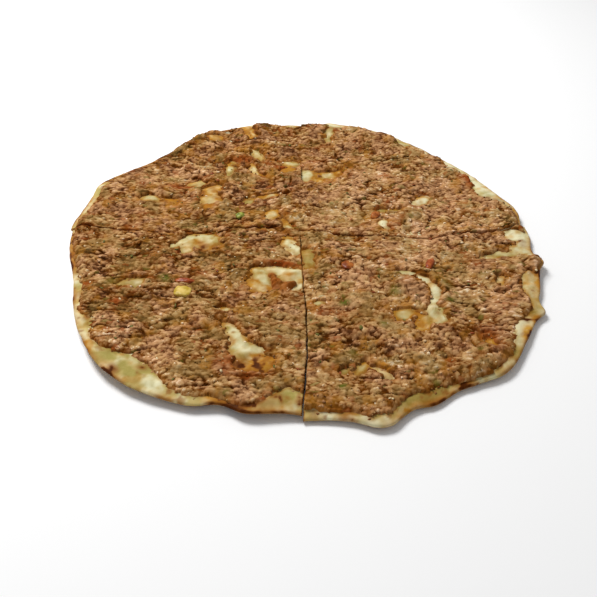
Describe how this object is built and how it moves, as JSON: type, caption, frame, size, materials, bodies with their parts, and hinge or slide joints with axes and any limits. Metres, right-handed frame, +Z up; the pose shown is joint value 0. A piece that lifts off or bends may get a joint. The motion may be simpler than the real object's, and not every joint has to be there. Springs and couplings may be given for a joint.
{
  "type": "lahmacun",
  "caption": "Thin round flatbread spread with spiced minced meat, cut crosswise into slices that lie together, with a pale curled rim and bare blisters in the meat.",
  "frame": {"origin": "on the floor under the middle of the bread", "axes": "+X to the right along the cut across, +Y to the back along the other cut, +Z up"},
  "size_m": [0.3016, 0.3081, 0.0117],
  "materials": {
    "baked_dough": "matte",
    "spiced_meat": "satin",
    "red_pepper": "satin",
    "yellow_pepper": "satin",
    "tomato": "satin",
    "green_pepper": "satin"
  },
  "bodies": {
    "root": {"dough_back_right": "baked_dough", "dough_back_left": "baked_dough", "dough_front_left": "baked_dough", "dough_front_right": "baked_dough", "topping_back_right": "spiced_meat", "topping_back_left": "spiced_meat", "topping_front_left": "spiced_meat", "topping_front_right": "spiced_meat", "pepper_yellow": "yellow_pepper", "pepper_red_strip": "red_pepper", "pepper_red": "red_pepper", "tomato_front": "tomato", "tomato_back": "tomato", "pepper_green": "green_pepper"}
  },
  "joints": []
}
